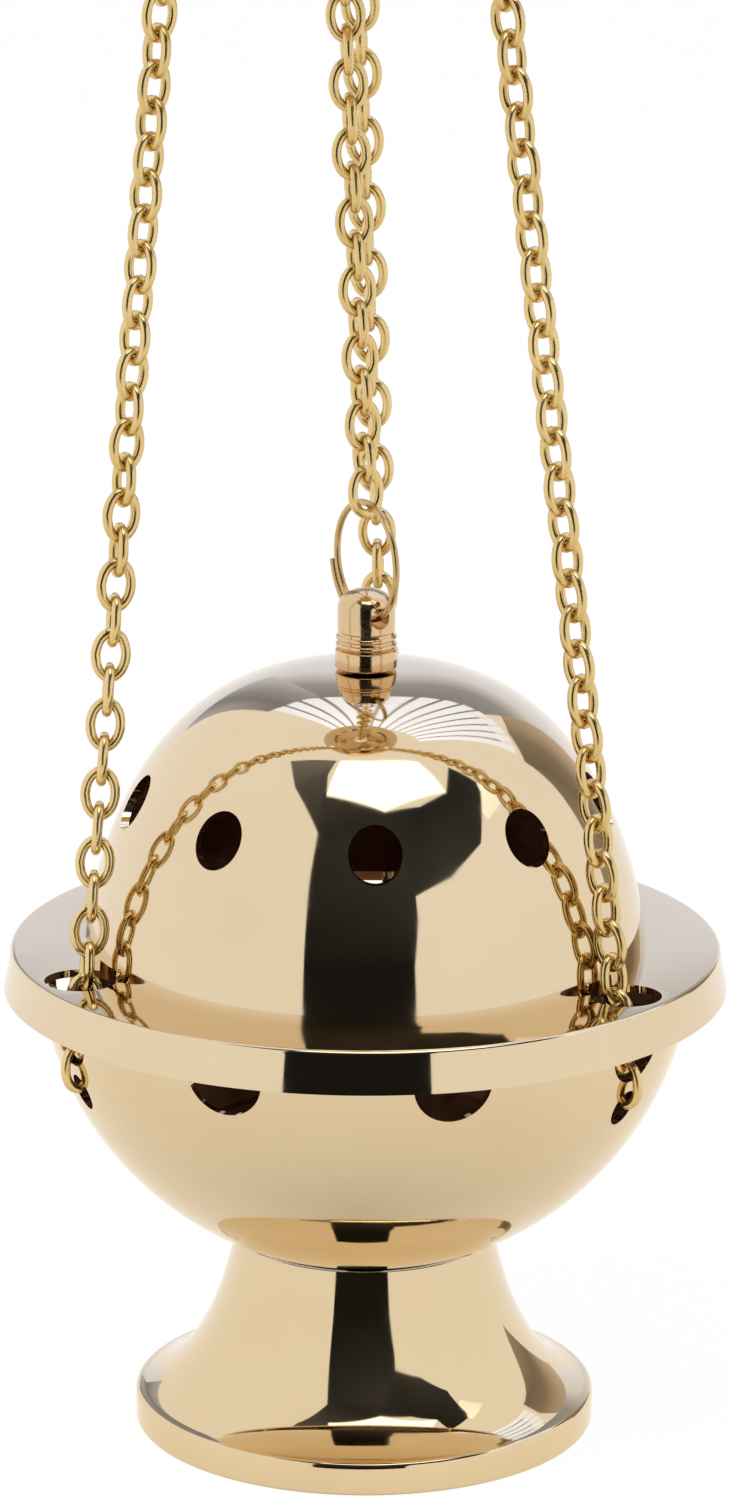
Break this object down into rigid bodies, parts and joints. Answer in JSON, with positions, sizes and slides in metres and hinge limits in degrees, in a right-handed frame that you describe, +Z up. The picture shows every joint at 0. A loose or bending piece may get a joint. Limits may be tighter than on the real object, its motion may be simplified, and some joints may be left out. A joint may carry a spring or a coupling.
{
  "type": "hanging censer",
  "caption": "Round footed bowl under a pierced dome lid with a wide brim, hung on chains from a small hanger plate, for burning incense on charcoal.",
  "frame": {"origin": "centre of the foot's underside, on the surface it stands on", "axes": "+Z up along the bowl's axis, -Y towards the front as pictured, +X to the right"},
  "size_m": [0.096, 0.096, 0.255],
  "materials": {
    "polished_brass": "mirror-polished",
    "turned_brass": "turned and polished",
    "chain_brass": "satin",
    "ring_wire": "drawn wire, slightly tarnished",
    "sooted_brass": "dull, darkened by heat"
  },
  "bodies": {
    "bowl_and_hanger": {"foot": "polished_brass", "bowl": "polished_brass", "foot_screw": "turned_brass", "foot_washer": "turned_brass", "foot_nut": "turned_brass", "charcoal_pan": "sooted_brass", "hanger_plate": "polished_brass", "hanger_bail": "turned_brass", "bail_nut_left": "turned_brass", "bail_nut_right": "turned_brass"},
    "lid": {"lid": "polished_brass", "finial": "turned_brass", "finial_screw": "turned_brass", "finial_washer": "turned_brass", "lid_ring": "ring_wire", "lift_chain_lid_link": "chain_brass", "lift_chain": "chain_brass", "lift_chain_ring_link": "chain_brass"},
    "lift_ring": {"lift_ring": "ring_wire"},
    "left_lower": {"chain_left_bowl_link": "chain_brass", "chain_left_lower": "chain_brass"},
    "left_upper": {"chain_left_upper": "chain_brass", "chain_left_hanger_link": "chain_brass"},
    "right_lower": {"chain_right_bowl_link": "chain_brass", "chain_right_lower": "chain_brass"},
    "right_upper": {"chain_right_upper": "chain_brass", "chain_right_hanger_link": "chain_brass"},
    "rear_lower": {"chain_rear_bowl_link": "chain_brass", "chain_rear_lower": "chain_brass"},
    "rear_upper": {"chain_rear_upper": "chain_brass", "chain_rear_hanger_link": "chain_brass"}
  },
  "joints": [
    {"name": "lid_lift", "type": "slide", "parent": "bowl_and_hanger", "child": "lid", "axis": [0, 0, 1], "range_m": [0, 0.025]},
    {"name": "lift_ring_fold", "type": "hinge", "parent": "lid", "child": "lift_ring", "pos_m": [-0.0036, 0, 0.2047], "axis": [1, 0, 0], "range_deg": [0, 90]},
    {"name": "left_chain_spread", "type": "hinge", "parent": "bowl_and_hanger", "child": "left_lower", "pos_m": [-0.03755, -0.01767, 0.05175], "axis": [0.4258, -0.9048, 0], "range_deg": [0, 4.01]},
    {"name": "left_chain_bend", "type": "hinge", "parent": "left_lower", "child": "left_upper", "pos_m": [-0.03382, -0.0154, 0.09813], "axis": [0.4258, -0.9048, 0], "range_deg": [-5.76, 0]},
    {"name": "right_chain_spread", "type": "hinge", "parent": "bowl_and_hanger", "child": "right_lower", "pos_m": [0.03408, -0.02369, 0.05175], "axis": [0.5707, 0.8211, 0], "range_deg": [0, 5.76]},
    {"name": "right_chain_bend", "type": "hinge", "parent": "right_lower", "child": "right_upper", "pos_m": [0.0286, -0.02064, 0.09813], "axis": [0.5707, 0.8211, 0], "range_deg": [-8.27, 0]},
    {"name": "rear_chain_spread", "type": "hinge", "parent": "bowl_and_hanger", "child": "rear_lower", "pos_m": [0.00347, 0.04135, 0.05175], "axis": [-0.9965, 0.0837, 0], "range_deg": [0, 5.51]},
    {"name": "rear_chain_bend", "type": "hinge", "parent": "rear_lower", "child": "rear_upper", "pos_m": [0.00193, 0.03604, 0.09813], "axis": [-0.9965, 0.0837, 0], "range_deg": [-7.91, 0]}
  ],
  "couplings": [
    {"joint": "left_chain_spread", "follows": "lid_lift", "rad_per_m": 2.7925},
    {"joint": "left_chain_bend", "follows": "lid_lift", "rad_per_m": -4.0129},
    {"joint": "right_chain_spread", "follows": "lid_lift", "rad_per_m": 4.0143},
    {"joint": "right_chain_bend", "follows": "lid_lift", "rad_per_m": -5.7645},
    {"joint": "rear_chain_spread", "follows": "lid_lift", "rad_per_m": 3.8397},
    {"joint": "rear_chain_bend", "follows": "lid_lift", "rad_per_m": -5.5138}
  ]
}
